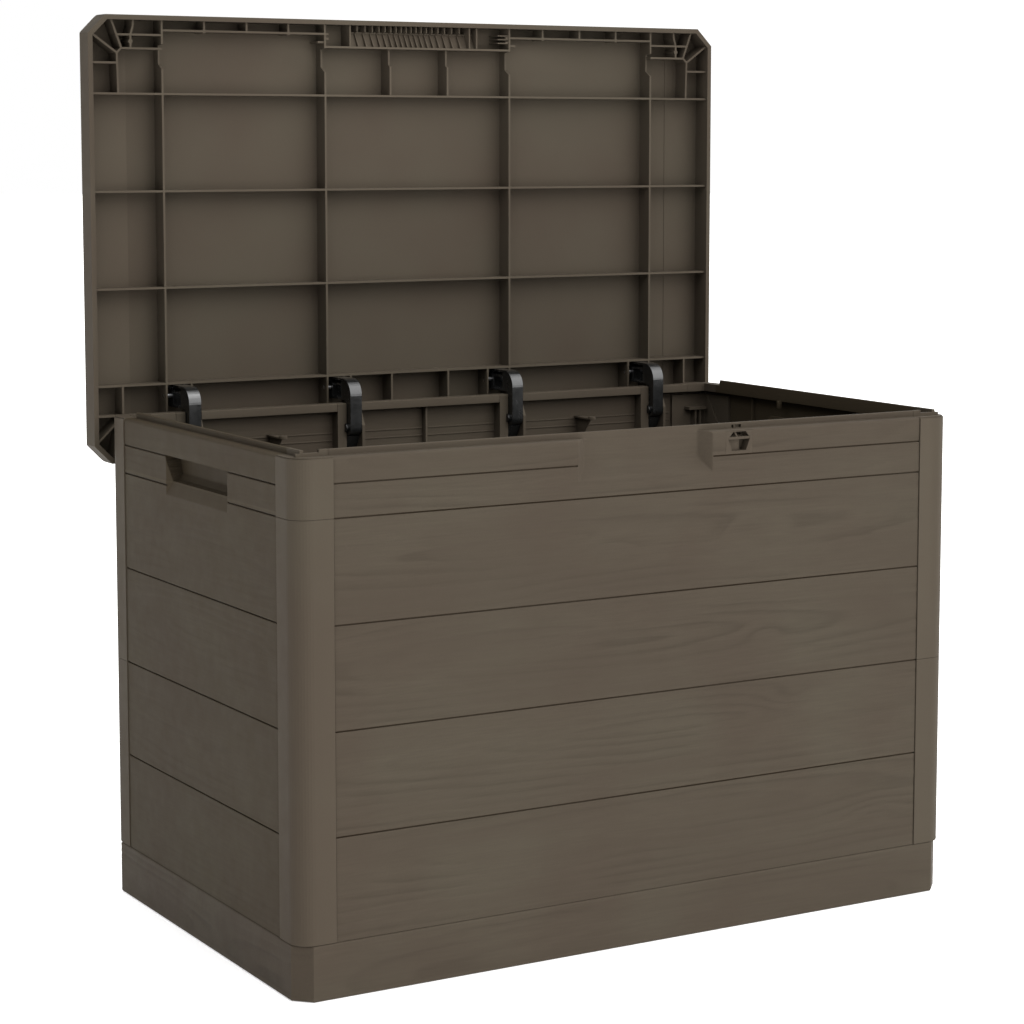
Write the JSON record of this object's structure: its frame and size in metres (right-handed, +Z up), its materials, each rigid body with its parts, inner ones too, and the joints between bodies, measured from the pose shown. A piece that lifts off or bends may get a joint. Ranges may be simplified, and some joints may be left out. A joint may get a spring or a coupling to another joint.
{
  "type": "deck storage box",
  "caption": "Outdoor storage box with planked walls, side handles, a padlock eye and a ribbed lid that swings up on gooseneck hinge arms",
  "frame": {"origin": "Centre of the base's underside, on the ground", "axes": "+X to the right seen from the front, +Y from the front to the hinged rear side, +Z up"},
  "size_m": [0.84, 0.526, 0.994],
  "materials": {
    "body_plastic": "satin",
    "black_plastic": "gloss",
    "rivet_steel": "satin"
  },
  "bodies": {
    "box": {"base_tray": "body_plastic", "front_panel": "body_plastic", "rear_panel": "body_plastic", "left_panel": "body_plastic", "right_panel": "body_plastic", "front_left_post_lower": "body_plastic", "front_left_post_upper": "body_plastic", "front_right_post_lower": "body_plastic", "front_right_post_upper": "body_plastic", "rear_left_post_lower": "body_plastic", "rear_left_post_upper": "body_plastic", "rear_right_post_lower": "body_plastic", "rear_right_post_upper": "body_plastic", "padlock_eye": "body_plastic", "hinge_housing_1": "body_plastic", "hinge_housing_2": "body_plastic", "hinge_housing_3": "body_plastic", "hinge_housing_4": "body_plastic", "hinge_stop_1": "black_plastic", "hinge_stop_2": "black_plastic", "hinge_stop_3": "black_plastic", "hinge_stop_4": "black_plastic", "hinge_pin_1": "black_plastic", "hinge_pin_2": "black_plastic", "hinge_pin_3": "black_plastic", "hinge_pin_4": "black_plastic"},
    "lid": {"hinge_arm_1": "black_plastic", "hinge_arm_2": "black_plastic", "hinge_arm_3": "black_plastic", "hinge_arm_4": "black_plastic", "arm_rivet_1": "rivet_steel", "arm_rivet_2": "rivet_steel", "arm_rivet_3": "rivet_steel", "arm_rivet_4": "rivet_steel", "lid_shell": "body_plastic", "lid_comb": "body_plastic"}
  },
  "joints": [
    {"name": "lid_hinge", "type": "hinge", "parent": "box", "child": "lid", "pos_m": [0, 0.223, 0.517], "axis": [1, 0, 0], "range_deg": [0, 90]}
  ]
}
